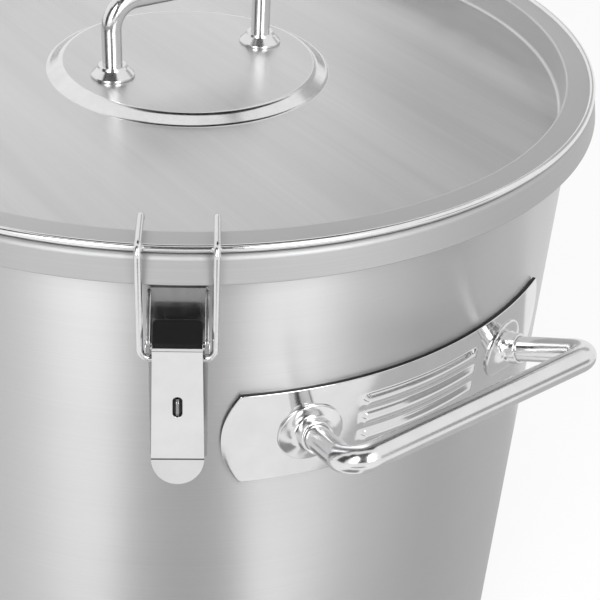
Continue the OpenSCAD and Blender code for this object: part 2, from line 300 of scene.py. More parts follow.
def bumpFrom(nodes, links, value, depth, strength):
    bump = nodes.new("ShaderNodeBump")
    bump.inputs["Strength"].default_value = strength
    bump.inputs["Distance"].default_value = depth * mm
    links.new(value, bump.inputs["Height"])
    return bump.outputs["Normal"]


def brushedSteel(name, grain, dark, light, rough, aniso, bumpDepth, bumpStrength):
    finish, nodes, links, shader = newFinish(name, light, rough[0], aniso)
    lines = stretchedNoise(nodes, links, grain, texture["lineDetail"])
    cloud = stretchedNoise(nodes, links, texture["cloud"], texture["softDetail"])
    both = nodes.new("ShaderNodeMath")
    both.operation = "MULTIPLY_ADD"
    both.inputs[1].default_value = texture["lineShare"]
    links.new(lines, both.inputs[0])
    faint = nodes.new("ShaderNodeMath")
    faint.operation = "MULTIPLY"
    faint.inputs[1].default_value = 1 - texture["lineShare"]
    links.new(cloud, faint.inputs[0])
    links.new(faint.outputs[0], both.inputs[2])
    links.new(tint(nodes, links, spread(nodes, links, both.outputs[0], 0, 1), dark, light),
              shader.inputs["Base Color"])
    links.new(spread(nodes, links, lines, *rough), shader.inputs["Roughness"])
    links.new(bumpFrom(nodes, links, lines, bumpDepth, bumpStrength), shader.inputs["Normal"])
    if aniso:  # the brushing runs round the pot
        tangent = nodes.new("ShaderNodeTangent")
        tangent.direction_type = "RADIAL"
        tangent.axis = "Z"
        links.new(tangent.outputs["Tangent"], shader.inputs["Tangent"])
        shader.inputs["Anisotropic Rotation"].default_value = texture["acrossGrain"]
    return finish


def streakedSteel(name, dark, light, rough):  # straight brushing along X, in broad soft streaks
    finish, nodes, links, shader = newFinish(name, light, rough[0])
    bands = stretchedNoise(nodes, links, texture["bands"], texture["softDetail"])
    lines = stretchedNoise(nodes, links, texture["lines"], texture["lineDetail"])
    both = nodes.new("ShaderNodeMix")
    both.inputs[0].default_value = texture["lineMix"]
    links.new(bands, both.inputs[2])
    links.new(lines, both.inputs[3])
    links.new(tint(nodes, links, spread(nodes, links, both.outputs[0], 0, 1), dark, light),
              shader.inputs["Base Color"])
    links.new(spread(nodes, links, bands, *rough), shader.inputs["Roughness"])
    links.new(bumpFrom(nodes, links, lines, texture["lineDepth"], texture["lineBump"]), shader.inputs["Normal"])
    return finish


def polishedSteel(name, dark, light, rough, haze):
    finish, nodes, links, shader = newFinish(name, light, rough[0])
    cloud = stretchedNoise(nodes, links, texture["haze"], texture["softDetail"])
    marks = stretchedNoise(nodes, links, texture["marks"], texture["markDetail"])
    links.new(tint(nodes, links, spread(nodes, links, cloud, 0, 1), dark, light),
              shader.inputs["Base Color"])
    links.new(spread(nodes, links, marks, *rough), shader.inputs["Roughness"])
    links.new(bumpFrom(nodes, links, cloud, haze, texture["hazeBump"]), shader.inputs["Normal"])
    return finish


def rubberFinish(name, dark, light, rough):
    finish, nodes, links, shader = newFinish(name, light, rough)
    shader.inputs["Metallic"].default_value = 0
    grain = stretchedNoise(nodes, links, texture["rubber"], texture["markDetail"])
    links.new(tint(nodes, links, spread(nodes, links, grain, 0, 1), dark, light),
              shader.inputs["Base Color"])
    links.new(bumpFrom(nodes, links, grain, texture["rubberDepth"], texture["rubberBump"]),
              shader.inputs["Normal"])
    return finish


wallFinish = brushedSteel("wallSteel", (5, 5, 3600), grey(0.55, 0.005), grey(0.63, 0.005),
                          (0.33, 0.46), 0.9, 0.01, 0.12)
flangeFinish = brushedSteel("flangeSteel", (5, 5, 2600), grey(0.57, 0.005), grey(0.65, 0.005),
                            (0.42, 0.50), 0, 0.006, 0.1)
# rim band and lip: rougher brushing, and a colour darker than the wall that is painted shade dimming their
# highlight
rimShadeFinish = brushedSteel("rimSteelPaintedShade", (5, 5, 2600), grey(0.43, 0.005), grey(0.50, 0.005),
                         (0.46, 0.56), 0, 0.006, 0.1)
# bracket: brushed steel whose dark colour is painted shade, for the shade it sits in behind the lever and under
# the rim
shadedBracketFinish = brushedSteel("bracketSteelPaintedShade", (300, 300, 40), grey(0.32, 0.005), grey(0.40, 0.005),
                             (0.20, 0.30), 0, 0.004, 0.1)
lidFinish = streakedSteel("lidSteel", grey(0.53), grey(0.71), (0.26, 0.36))
# ring round the lid's raised centre: polished with lower roughness, and a lighter colour that is a painted
# highlight of its turned sheen
ringSheenFinish = polishedSteel("ringSteelPaintedSheen", grey(0.70), grey(0.80), (0.14, 0.22), 0.01)
# lid bead: polished, and lighter than the flange as a painted highlight along the rim
beadHighlightFinish = polishedSteel("beadSteelPaintedHighlight", grey(0.74), grey(0.82), (0.14, 0.20), 0.005)
# near-black painted shade: the gap along the handle plates' edges and the dark inside the lever's slot
gapShadeFinish = polishedSteel("paintedGapShade", grey(0.03), grey(0.06), (0.30, 0.40), 0.01)
# dark painted shade in the crease where the finger tab folds from the lever
creaseShadeFinish = polishedSteel("paintedCreaseShade", grey(0.10), grey(0.16), (0.25, 0.35), 0.01)
plateFinish = polishedSteel("plateSteel", grey(0.67, 0.005), grey(0.73, 0.005), (0.07, 0.12), 0.02)
rodFinish = polishedSteel("rodSteel", grey(0.70, 0.005), grey(0.77, 0.005), (0.15, 0.22), 0.015)
latchFinish = polishedSteel("latchSteel", grey(0.67, 0.005), grey(0.73, 0.005), (0.06, 0.11), 0.01)
# darker painted shade on the lever's back faces, between lever and pot
leverBackShadeFinish = polishedSteel("paintedLeverBackShade", grey(0.28, 0.005), grey(0.36, 0.005), (0.30, 0.42), 0.01)
fastenerFinish = polishedSteel("fastenerSteel", grey(0.62, 0.01), grey(0.70, 0.01), (0.14, 0.22), 0.01)
gasketFinish = rubberFinish("gasketRubber", grey(0.70, -0.02), grey(0.80, -0.02), 0.5)
print("finishes mixed")


# camera

view = {"place": (0.52002, -0.32492, 0.655), "forward": (-0.65214, 0.51076, -0.56028),
        "focus": 1249.1, "axisAt": 297.5, "roll": 3.637, "sensor": 36.0}


def setCamera():
    forward = Vector(view["forward"]).normalized()
    level = forward.to_track_quat("-Z", "Y")
    right = (level @ Quaternion(zAxis, radians(view["roll"]))) @ Vector((1, 0, 0))
    half = (photoSide - 1) / 2
    forward = (forward + right * (half - view["axisAt"]) / view["focus"]).normalized()
    turned = forward.to_track_quat("-Z", "Y") @ Quaternion(zAxis, radians(view["roll"]))
    settle()
    bpy.ops.object.camera_add(location=view["place"], rotation=turned.to_euler())
    camera = bpy.context.object
    camera.name = "photoCamera"
    camera.data.sensor_width = view["sensor"]
    camera.data.lens = view["focus"] / photoSide * view["sensor"]
    camera.data.clip_start = 0.01
    bpy.context.scene.camera = camera


setCamera()
print("camera set")


# pot

pot = {"wall": 200, "high": 400, "sheet": 1.2, "corner": 18, "rim": 208.3, "rimRound": 3,
       "bandFoot": 387.5, "bandOut": 210.8, "lipRound": 1.7, "hem": 0.5, "steps": 288, "arcSteps": 8,
       "coatBelow": 1, "coatInside": 2}


def makePot():
    t = pot["sheet"]
    inner = pot["wall"] - t
    under = pot["high"] - t
    shell = turnUp("potShell", [
        (0, 0), (pot["wall"], 0, pot["corner"]), (pot["wall"], under, pot["lipRound"] - t),
        (pot["rim"] - t, under, pot["rimRound"] - t), (pot["bandOut"] - t, pot["bandFoot"], pot["hem"]),
        (pot["bandOut"], pot["bandFoot"], pot["hem"]), (pot["rim"], pot["high"], pot["rimRound"]),
        (inner, pot["high"], pot["lipRound"]), (inner, t, pot["corner"] - t), (0, t)],
        pot["steps"], pot["arcSteps"])
    smooth(shell)
    handIn(shell, wallFinish, "pot", "pot_steel", "pot_shell")
    # painted shade: the rim band and lip take the darker copy of the wall steel
    coatFaces(shell, rimShadeFinish, isRim)


def isRim(p, n):
    return p.z > pot["bandFoot"] - pot["coatBelow"] and p.xy.length > pot["wall"] - pot["coatInside"]


makePot()
print("pot turned")


# lid

lid = {"sheet": 1.0, "centre": 66.5, "centreTop": 391, "foot": 72.5, "disc": 387, "step": 193.6,
       "flange": 402.3, "bead": 206.7, "beadUp": 402.0, "beadRound": 1.6, "beadSteps": 18, "steps": 288,
       "centreRound": 5, "footRound": 3.5, "discRound": 2, "flangeRound": 1.4, "underFlangeRound": 0.4,
       "underDiscRound": 3, "underCentreRound": 4, "slopeShift": 0.2, "ringInside": 3, "ringOutside": 2,
       "flangeInside": 0.3}
gasket = {"inner": 200.25, "outer": 205.25, "low": 400.05, "high": 401.25, "round": 0.4,
          "steps": 192, "arcSteps": 4}


def makeLid():
    t = lid["sheet"]
    under = lid["flange"] - t
    topTurn = pi - asin((lid["flange"] - lid["beadUp"]) / lid["beadRound"])
    lowTurn = asin((lid["beadUp"] - under) / lid["beadRound"]) - pi
    bead = []
    for k in range(lid["beadSteps"] + 1):
        turn = topTurn + (lowTurn - topTurn) * k / lid["beadSteps"]
        bead.append((lid["bead"] + lid["beadRound"] * cos(turn), lid["beadUp"] + lid["beadRound"] * sin(turn)))
    cover = turnUp("lidCover", [
        (0, lid["centreTop"]), (lid["centre"], lid["centreTop"], lid["centreRound"]),
        (lid["foot"], lid["disc"], lid["footRound"]), (lid["step"], lid["disc"], lid["discRound"]),
        (lid["step"], lid["flange"], lid["flangeRound"]), *bead,
        (lid["step"] + t, under, lid["underFlangeRound"]),
        (lid["step"] + t, lid["disc"] - t, lid["underDiscRound"]),
        (lid["foot"] - lid["slopeShift"], lid["disc"] - t, lid["underCentreRound"]),
        (lid["centre"] - lid["slopeShift"], lid["centreTop"] - t, lid["underCentreRound"]),
        (0, lid["centreTop"] - t)], lid["steps"])
    smooth(cover)
    handIn(cover, lidFinish, "pot", "lid_steel", "lid")
    beadFoot = lid["bead"] - lid["beadRound"]
    ringFrom, ringTo = lid["centre"] - lid["ringInside"], lid["foot"] + lid["ringOutside"]
    flangeFrom = lid["step"] - lid["flangeInside"]
    # painted highlight: the lighter polished steel on the ring round the raised centre
    coatFaces(cover, ringSheenFinish, lambda p, n: ringFrom < p.xy.length < ringTo)
    coatFaces(cover, flangeFinish, lambda p, n: flangeFrom < p.xy.length < beadFoot)
    # painted highlight: the lighter polished steel on the lid's bead
    coatFaces(cover, beadHighlightFinish, lambda p, n: p.xy.length >= beadFoot)
    sides = ("inner", "low"), ("outer", "low"), ("outer", "high"), ("inner", "high")
    ring = turnUp("lidGasket", [(gasket[x], gasket[z], gasket["round"]) for x, z in sides],
                  gasket["steps"], gasket["arcSteps"])
    smooth(ring)
    handIn(ring, gasketFinish, "pot", "gasket", "lid_gasket")


makeLid()
print("lid and gasket turned")


# lid grip

lidGrip = {"rod": 5, "span": 90, "reach": 38, "bend": 14, "foot": 391.05, "footWide": 11, "footHigh": 6,
           "collar": 7, "bore": 5.05, "sides": 40, "endSoft": 0.5, "footEdge": 1.2, "flareOut": 0.6,
           "flareDown": 1.4, "footRounds": (0.3, 0.4, 2, 0.6), "footSteps": 64}


def makeLidGrip():
    half = lidGrip["span"] / 2
    rise = lidGrip["reach"] - lidGrip["bend"]
    rod = sweepRod("lidGripBar", (0, -half, lidGrip["foot"]), (0, 0, 1), lidGrip["rod"], lidGrip["sides"], [
        (rise,), ((1, 0, 0), lidGrip["bend"], -90), (lidGrip["span"] - 2 * lidGrip["bend"],),
        ((1, 0, 0), lidGrip["bend"], -90), (rise,)])
    softenEdges(rod, width=lidGrip["endSoft"], segments=2, above=60)
    smooth(rod)
    handIn(rod, rodFinish, "pot", "rod_steel", "lid_grip")
    wide, high, collar, bore = (lidGrip[k] for k in ("footWide", "footHigh", "collar", "bore"))
    low, edge, flare, top = lidGrip["footRounds"]
    foot = turnUp("lidGripFoot", [
        (bore, 0), (wide, 0, low), (wide, lidGrip["footEdge"], edge),
        (collar + lidGrip["flareOut"], high - lidGrip["flareDown"], flare), (collar, high, top), (bore, high)],
        lidGrip["footSteps"])
    bpy.ops.mesh.select_all(action="SELECT")
    bpy.ops.transform.translate(value=(0, -half * mm, lidGrip["foot"] * mm))
    other = copyTurned(foot, "lidGripFootB", pi)
    feet = joinPieces([foot, other])
    feet.name = "lidGripFeet"
    smooth(feet)
    handIn(feet, rodFinish, "pot", "rod_steel", "lid_grip_ferrules")


makeLidGrip()
print("lid grip swept")


# handles

handle = {"up": 301, "plateFace": 202.3, "plateThick": 2, "plateWide": 190, "plateHigh": 48, "endRound": 43,
          "ribs": (-10, 0, 10), "ribWide": 8, "ribRise": 1.8, "ribHalf": 34.4, "ribEnd": 2.2,
          "columns": 116, "rows": 112, "edgeRound": 0.55, "cutMargin": 0.2}
bar = {"rod": 6, "span": 116, "leg": 50, "splay": 16.2602, "bend": 9, "tilt": 24, "start": 3.4, "sides": 48}
ferrule = {"foot": 15, "sides": 72, "seat": 0.05, "bore": 6.05, "turnFrom": 0.8, "turnOver": 4.2,
           "onPlate": 0.1, "nearFace": 0.02,
           "rings": ((15.0, 0.05), (15.0, 0.45), (14.75, 0.75), (14.2, 1.0), (12.6, 1.55), (11.0, 2.15),
                     (9.8, 2.75), (8.9, 3.4), (8.25, 4.1), (7.85, 4.9), (7.6, 5.8), (7.5, 6.6), (7.5, 9.9),
                     (7.35, 10.3), (7.05, 10.5), (6.4, 10.5), (6.1, 10.35), (6.05, 10.0), (6.05, 6.0),
                     (6.05, 1.2))}  # radius, then height above the plate


def ribHeight(y, z):
    rise = 0
    for middle in handle["ribs"]:
        across = abs(z - middle) / (handle["ribWide"] / 2)
        along = min(max((handle["ribHalf"] - abs(y)) / handle["ribEnd"], 0), 1)
        if across < 1:
            arch = (cos(pi * across) + 1) / 2
            rise = max(rise, handle["ribRise"] * arch ** 0.5 * along * along * (3 - 2 * along))
    return rise


def makePlate():
    wide, high, face = handle["plateWide"], handle["plateHigh"], handle["plateFace"]
    settle()
    bpy.ops.mesh.primitive_grid_add(x_subdivisions=handle["columns"], y_subdivisions=handle["rows"], size=1,
                                    location=(face * mm, 0, handle["up"] * mm), rotation=(pi / 2, 0, pi / 2))
    bpy.ops.transform.resize(value=(1, wide * mm, high * mm))
    plate = openNew("handlePlate")
    endMiddle = wide / 2 - handle["endRound"]
    mesh = bmesh.from_edit_mesh(plate.data)
    for v in mesh.verts:  # round ends, pressed ribs, then wrapped to the wall
        z = v.co.z / mm - handle["up"]
        y = v.co.y / mm * (endMiddle + sqrt(handle["endRound"] ** 2 - z * z)) / (wide / 2)
        out = sqrt(face * face - y * y) * (1 + ribHeight(y, z) / face)
        v.co = Vector((out, y, z + handle["up"])) * mm
    bmesh.update_edit_mesh(plate.data)
    faceOutward(plate)
    modify(plate, "SOLIDIFY", thickness=handle["plateThick"] * mm, offset=-1, use_even_offset=False)
    softenEdges(plate, width=handle["edgeRound"], segments=3, above=60)
    smooth(plate, angle=40)
    return plate


def makeBar():
    half, splay = bar["span"] / 2, radians(bar["splay"])
    corner = bar["bend"] * tan((pi / 2 + splay) / 2)
    leg = bar["leg"] - corner - bar["start"]
    foot = (bar["start"] * cos(splay), -half - bar["start"] * sin(splay), 0)
    rod = sweepRod("handleBar", foot, (cos(splay), -sin(splay), 0), bar["rod"], bar["sides"], [
        (leg,), ((0, 0, 1), bar["bend"], 90 + bar["splay"]), (2 * (half + bar["leg"] * sin(splay) - corner),),
        ((0, 0, 1), bar["bend"], 90 + bar["splay"]), (leg,)])
    seat = sqrt(handle["plateFace"] ** 2 - half * half)
    placeAt(rod, (seat * mm, 0, handle["up"] * mm), (0, -radians(bar["tilt"]), 0))
    smooth(rod, angle=50)
    return rod


def makeFerrule(side):
    half = side * bar["span"] / 2
    face = handle["plateFace"] + ferrule["seat"]
    seat = Vector((sqrt(handle["plateFace"] ** 2 - half * half), half, 0))
    square = seat.normalized()
    tilt, splay = radians(bar["tilt"]), radians(bar["splay"])
    leg = Vector((cos(splay) * cos(tilt), side * sin(splay), cos(splay) * sin(tilt)))
    settle()
    bpy.ops.mesh.primitive_circle_add(
        vertices=ferrule["sides"], radius=ferrule["foot"] * mm, fill_type="NOTHING")
    piece = openNew("ferrule")
    for i, (radius, out) in enumerate((*ferrule["rings"], (ferrule["bore"], ferrule["seat"]))):
        if i:
            push()  # a new ring on the last one, put in its place below
        share = min(max((out - ferrule["turnFrom"]) / ferrule["turnOver"], 0), 1)
        lean = square.lerp(leg, share * share * (3 - 2 * share))  # from square to the plate to along the leg
        axis = lean.normalized()
        middle = seat + lean * out
        up = (zAxis - axis * axis.z).normalized()
        across = axis.cross(up)
        mesh = bmesh.from_edit_mesh(piece.data)
        layer = mesh.verts.layers.float.get("turn") or mesh.verts.layers.float.new("turn")
        ring = [v for v in mesh.verts if v.select]
        for v in ring:  # keeps each vertex at its own turn round the ring
            if not i:
                v[layer] = atan2(v.co.y, v.co.x)
            turn = v[layer]
            spot = middle + (up * cos(turn) + across * sin(turn)) * radius
            if out < ferrule["onPlate"]:  # the foot lies on the curved plate
                spot.x = sqrt(face * face - spot.y * spot.y)
            v.co = (spot + zAxis * handle["up"]) * mm
        bmesh.update_edit_mesh(piece.data)
    pick(piece, "VERT", lambda p: abs(p.xy.length - face) < ferrule["nearFace"])
    bpy.ops.mesh.select_mode(type="EDGE")
    bpy.ops.mesh.bridge_edge_loops()
    weld()
    smooth(piece, angle=40)
    return piece


def isPlateEdge(p, n):
    depth = handle["plateFace"] - p.xy.length
    return handle["cutMargin"] < depth < handle["plateThick"] - handle["cutMargin"]


def makeHandles():
    plate = makePlate()
    rod = makeBar()
    pair = joinPieces([makeFerrule(-1), makeFerrule(1)])
    for name, turn in (("near", 0), ("far", pi)):
        sheet = copyTurned(plate, name + "Plate", turn)
        handIn(sheet, plateFinish, "pot", "plate_steel", name + "_handle_plate")
        # painted shade on the plate's edge faces, for the dark gap between plate and wall
        coatFaces(sheet, gapShadeFinish, isPlateEdge)
        handIn(copyTurned(rod, name + "Bar", turn), rodFinish, "pot", "rod_steel", name + "_handle_bar")
        feet = copyTurned(pair, name + "Ferrules", turn)
        handIn(feet, rodFinish, "pot", "rod_steel", name + "_handle_ferrules")
    for piece in (plate, rod, pair):
        scrap(piece)


makeHandles()
print("handles made")


# latches, drawn on +X and turned to their three places

latch = {"turns": (-33.1, 90.0, 213.1), "pivotOut": 213.45, "pivotUp": 360.7, "sheet": 1.5}
bracket = {"wide": 24.5, "out": 200.3, "low": 292.8, "high": 380.8, "earRound": 3.5, "earUp": 20, "earDown": 6,
           "earTopDown": 0.8, "earTopOut": 0.6, "earTopRound": 0.4, "root": 0.2, "tongueThick": 1.2,
           "tongueLow": 328.6, "tongueHigh": 337.4, "tongueEnd": 219.25, "tongueRound": 2.5, "corner": 1.5,
           "cornerSteps": 4, "edge": 0.25}
pin = {"rod": 1.8, "head": 3.0, "headThick": 0.7, "headEdge": 0.1, "halfLong": 12.3, "dome": 0.5, "steps": 40,
       "arcSteps": 4}
lever = {"face": 217.45, "wide": 20, "footWide": 22.2, "fold": 305.3, "foldSides": 72, "curl": 4, "curlSteps": 8,
         "lean": 53.1301, "tab": 10, "tabRound": 2.2, "tabSteps": 5, "bendOut": 22, "seamGap": 0.05,
         "slotUp": 333.0, "slotLong": 10.4, "slotWide": 4, "slotDeep": 1.25, "slotSides": 32, "slitLong": 9.6,
         "slitWide": 1.9, "slitDeep": 6, "cutterLong": 12, "edge": 0.3, "cheek": 3.2, "cheekFoot": 0.5,
         "cheekTop": 0.3, "cheekBrow": 1.5, "crease": 0.35, "creaseNear": 0.3}
bail = {"wire": 1.5, "apart": 30, "out": 212.65, "low": 354.2, "corner": 4.5, "top": 405.45, "hookBend": 4,
        "tipBend": 4.5, "tipDip": 75, "tipAt": 185.1, "tipSoft": 1.1, "sides": 24}


def makeBracket():
    t, half = latch["sheet"], bracket["wide"] / 2
    settle()
    middle = (bracket["low"] + bracket["high"]) / 2
    bpy.ops.mesh.primitive_plane_add(size=1, location=(bracket["out"] * mm, 0, middle * mm),
                                     rotation=(0, pi / 2, 0))
    bpy.ops.transform.resize(value=(1, bracket["wide"] * mm, (bracket["high"] - bracket["low"]) * mm))
    back = openNew("bracketBack")
    bpy.ops.mesh.bevel(offset=bracket["corner"] * mm, segments=bracket["cornerSteps"], affect="VERTICES")
    bpy.ops.mesh.select_all(action="SELECT")
    push(x=t)
    weld()
    parts = [back]
    px, pz, r = latch["pivotOut"], latch["pivotUp"], bracket["earRound"]
    root = bracket["out"] + bracket["root"]
    earTop = pz + bracket["earUp"] - bracket["earTopDown"]
    ear = roundedLine([
        (root, pz - bracket["earDown"]), (px + r, pz - r, r), (px + r, pz + r, r),
        (bracket["out"] + t + bracket["earTopOut"], earTop, bracket["earTopRound"]), (root, earTop)], 8)
    for side in (-1, 1):
        parts.append(cutSheet("bracketEar", ear, side * (half - t / 2) - t / 2, t))
    tip, low, high = bracket["tongueEnd"], bracket["tongueLow"], bracket["tongueHigh"]
    tongue = roundedLine([
        (root, low), (tip, low, bracket["tongueRound"]), (tip, high, bracket["tongueRound"]), (root, high)])
    parts.append(cutSheet("bracketTongue", tongue, -bracket["tongueThick"] / 2, bracket["tongueThick"]))
    piece = joinPieces(parts)
    softenEdges(piece, width=bracket["edge"], segments=2, above=50)
    smooth(piece, angle=35)
    return piece


def makePin():
    rod, head, thick, half, dome = (pin[k] for k in ("rod", "head", "headThick", "halfLong", "dome"))
    edge = pin["headEdge"]
    piece = turnUp("latchPin", [
        (0, -half - thick), (head, -half - thick, dome), (head, -half, edge), (rod, -half), (rod, half),
        (head, half, edge), (head, half + thick, dome), (0, half + thick)], pin["steps"], pin["arcSteps"])
    placeAt(piece, (latch["pivotOut"] * mm, 0, latch["pivotUp"] * mm), (pi / 2, 0, 0))
    smooth(piece)
    return piece


def cutSlot(sheet, wide, long, start):  # a slot with round ends, cut from that depth to the front
    settle()
    bpy.ops.mesh.primitive_circle_add(
        vertices=lever["slotSides"], radius=wide / 2 * mm, fill_type="NGON",
        location=(start * mm, 0, lever["slotUp"] * mm), rotation=(0, pi / 2, 0))
    cutter = openNew("slotCutter")
    stretch = (long - wide) / 2
    mesh = bmesh.from_edit_mesh(cutter.data)
    for v in mesh.verts:  # pulls the two halves of the circle apart
        v.co.z += (stretch if v.co.z > lever["slotUp"] * mm + 1e-7 else -stretch) * mm
    bmesh.update_edit_mesh(cutter.data)
    push(x=lever["cutterLong"])
    weld()
    settle()
    modify(sheet, "BOOLEAN", operation="DIFFERENCE", object=cutter, solver="EXACT")
    scrap(cutter)


def makeLever():
    t, px, pz, face = latch["sheet"], latch["pivotOut"], latch["pivotUp"], lever["face"]
    settle()
    bpy.ops.mesh.primitive_plane_add(size=1, location=(face * mm, 0, (pz + lever["fold"]) / 2 * mm),
                                     rotation=(0, pi / 2, 0))
    bpy.ops.transform.resize(value=(1, lever["wide"] * mm, (pz - lever["fold"]) * mm))
    sheet = openNew("latchLever")
    pick(sheet, "EDGE", lambda p: p.z < lever["fold"] + 1)
    bpy.ops.transform.resize(value=(1, lever["footWide"] / lever["wide"], 1))
    pick(sheet, "EDGE", lambda p: p.z > pz - 1)
    lean = radians(lever["lean"])
    bpy.ops.mesh.spin(steps=lever["curlSteps"], angle=-lean * spinSense,
                      center=(px * mm, 0, pz * mm), axis=(0, 1, 0))
    push(x=-lever["tab"] * sin(lean), z=lever["tab"] * cos(lean))
    top = pz + lever["curl"] * sin(lean) + lever["tab"] * cos(lean)
    pick(sheet, "VERT", lambda p: p.z > top - 0.1)
    bpy.ops.mesh.bevel(offset=lever["tabRound"] * mm, segments=lever["tabSteps"], affect="VERTICES")
    settle()
    bpy.ops.mesh.primitive_circle_add(
        vertices=lever["foldSides"], radius=lever["footWide"] / 2 * mm, fill_type="NGON",
        location=(face * mm, 0, lever["fold"] * mm), rotation=(0, pi / 2, 0))
    tab = openNew("fingerTab")
    bpy.ops.mesh.bisect(plane_co=(0, 0, lever["fold"] * mm), plane_no=(0, 0, 1),
                        clear_outer=True, use_fill=False)
    bpy.ops.mesh.select_all(action="SELECT")
    swing = Matrix.Rotation(-radians(lever["bendOut"]), 4, "Y")
    hinge = Matrix.Translation(Vector((face, 0, lever["fold"])) * mm)
    mesh = bmesh.from_edit_mesh(tab.data)
    bmesh.ops.transform(mesh, matrix=hinge @ swing @ hinge.inverted(), verts=mesh.verts)
    bmesh.update_edit_mesh(tab.data)
    sheet = joinPieces([sheet, tab])
    bpy.ops.object.mode_set(mode="EDIT")
    bpy.ops.mesh.select_all(action="SELECT")
    bpy.ops.mesh.remove_doubles(threshold=lever["seamGap"] * mm)
    faceOutward(sheet)
    modify(sheet, "SOLIDIFY", thickness=t * mm, offset=-1, use_even_offset=True)
    cutSlot(sheet, lever["slotWide"], lever["slotLong"], face - lever["slotDeep"])
    cutSlot(sheet, lever["slitWide"], lever["slitLong"], face - lever["slitDeep"])
    cx, cz, r = bail["out"], bail["low"], lever["cheek"]
    front = face - t / 2
    cheek = roundedLine([
        (cx - r, cz - r, r), (front, cz - r, lever["cheekFoot"]), (front, pz, lever["cheekTop"]),
        (px + r, pz + r, lever["cheekBrow"]), (px - r, pz + r, r)])
    parts = [sheet]
    for side in (-1, 1):
        parts.append(cutSheet("leverCheek", cheek, side * (lever["wide"] - t) / 2 - t / 2, t))
    piece = joinPieces(parts)
    softenEdges(piece, width=lever["edge"], segments=3, above=50)
    bpy.ops.object.mode_set(mode="EDIT")
    near = lever["creaseNear"]
    pick(piece, "EDGE", lambda p: abs(p.z - lever["fold"]) < near and p.x > face - near)
    bpy.ops.mesh.bevel(offset=lever["crease"] * mm, segments=1, affect="EDGES")
    pick(piece, "EDGE", lambda p: abs(p.z - lever["fold"]) < near + 0.2 and p.x > face - near)
    bpy.ops.mesh.mark_sharp()
    settle()
    smooth(piece, angle=35)
    return piece


def isLeverInside(p, n):
    return abs(p.x - lever["face"] + latch["sheet"]) < 0.1 and n.x < -0.9


def isCrease(p, n):
    return abs(p.z - lever["fold"]) < 0.2 and p.x > lever["face"] - lever["creaseNear"]


def isInSlot(p, n):
    beside, above = abs(p.y), abs(p.z - lever["slotUp"])
    return (beside < lever["slotWide"] / 2 + 0.1 and above < lever["slotLong"] / 2 + 0.1
            and 0.1 < lever["face"] - p.x < 0.9 * latch["sheet"])


def makeBail():
    half = bail["apart"] / 2
    dip = radians(bail["tipDip"])
    drop = bail["tipBend"] * (1 - cos(dip))
    reach = bail["out"] - bail["hookBend"] - bail["tipBend"] * sin(dip) - bail["tipAt"]
    upright = bail["top"] - bail["hookBend"] - bail["low"] - bail["corner"]
    piece = sweepRod("latchBail", (bail["tipAt"], -half, bail["top"] - drop), (cos(dip), 0, sin(dip)),
                     bail["wire"], bail["sides"], [
        ((0, 1, 0), bail["tipBend"], bail["tipDip"]), (reach,), ((0, 1, 0), bail["hookBend"], 90), (upright,),
        ((1, 0, 0), bail["corner"], 90), (bail["apart"] - 2 * bail["corner"],), ((1, 0, 0), bail["corner"], 90),
        (upright,), ((0, 1, 0), bail["hookBend"], -90), (reach,), ((0, 1, 0), bail["tipBend"], -bail["tipDip"])])
    softenEdges(piece, width=bail["tipSoft"], segments=4, above=60)
    smooth(piece, angle=50)
    return piece


def makeLatches():
    kinds = (("Bracket", makeBracket(), "pot", "latch_bracket_", "latch_steel", shadedBracketFinish),
             ("Pin", makePin(), "pot", "latch_pin_", "fastener_steel", fastenerFinish),
             ("Lever", makeLever(), "lever_", "latch_lever_", "latch_steel", latchFinish),
             ("Bail", makeBail(), "bail_", "latch_bail_", "rod_steel", rodFinish))
    for i, turn in enumerate(latch["turns"]):
        number = str(i + 1)
        for name, piece, body, node, slot, finish in kinds:
            copy = copyTurned(piece, "latch" + name + number, radians(turn))
            handIn(copy, finish, body if body == "pot" else body + number, slot, node + number)
            if name == "Lever":
                # painted shade: darker steel on the lever's faces that look toward the pot
                coatFaces(copy, leverBackShadeFinish, isLeverInside, radians(turn))
                # painted shade: near-black steel on the walls of the lever's slot
                coatFaces(copy, gapShadeFinish, isInSlot, radians(turn))
                # painted shade: dark steel along the fold crease
                coatFaces(copy, creaseShadeFinish, isCrease, radians(turn))
    for kind in kinds:
        scrap(kind[1])


makeLatches()
print("latches made")

for node in ("lid_grip_washers", "lid_grip_screws"):
    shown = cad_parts[node]
    shown.data.materials.clear()
    shown.data.materials.append(fastenerFinish)


# studio

studio = {"floor": 8.0, "floorDown": 0.0005, "floorTone": 0.9, "floorRough": 0.9, "floorGlow": 0.78,
          "worldLevel": 0.8, "middle": (0, 0, 0.35), "cardUp": 0.001,
          "softboxes": (  # turn, rise, distance, width, height, watts
              ("leftSoftbox", -57, 30, 1.7, 0.60, 1.4, 12.5),
              ("rightSoftbox", -5, 30, 1.7, 0.60, 1.4, 12.5)),
          "cards": (  # turn, rise, distance, width, height, tone
              ("cameraFlag", -34, 40.5, 1.7, 1.15, 2.17, 0.02),
              ("backFlag", 112, 29, 2.0, 1.6, 0.6, 0.5),
              ("leftFlag", -98, 20, 1.9, 1.0, 1.6, 0.05),
              ("topFlag", 135, 67, 1.6, 1.2, 1.15, 0.02),
              ("sideFlag", 36, 4, 1.9, 0.7, 0.6, 0.4),
              ("leftTopFlag", -82, 52, 1.8, 0.9, 0.8, 0.02)),
          "floorCards": (  # x, y, width, height, turn, tone
              ("sideFloorCard", 0.368, 0.376, 0.8, 0.57, 64, 0.58),
              ("frontFloorCard", 0.779, -0.526, 0.32, 0.5, -34, 0.3),
              ("nearFloorCard", 0.336, -0.227, 0.23, 0.2, -34, 0.3))}


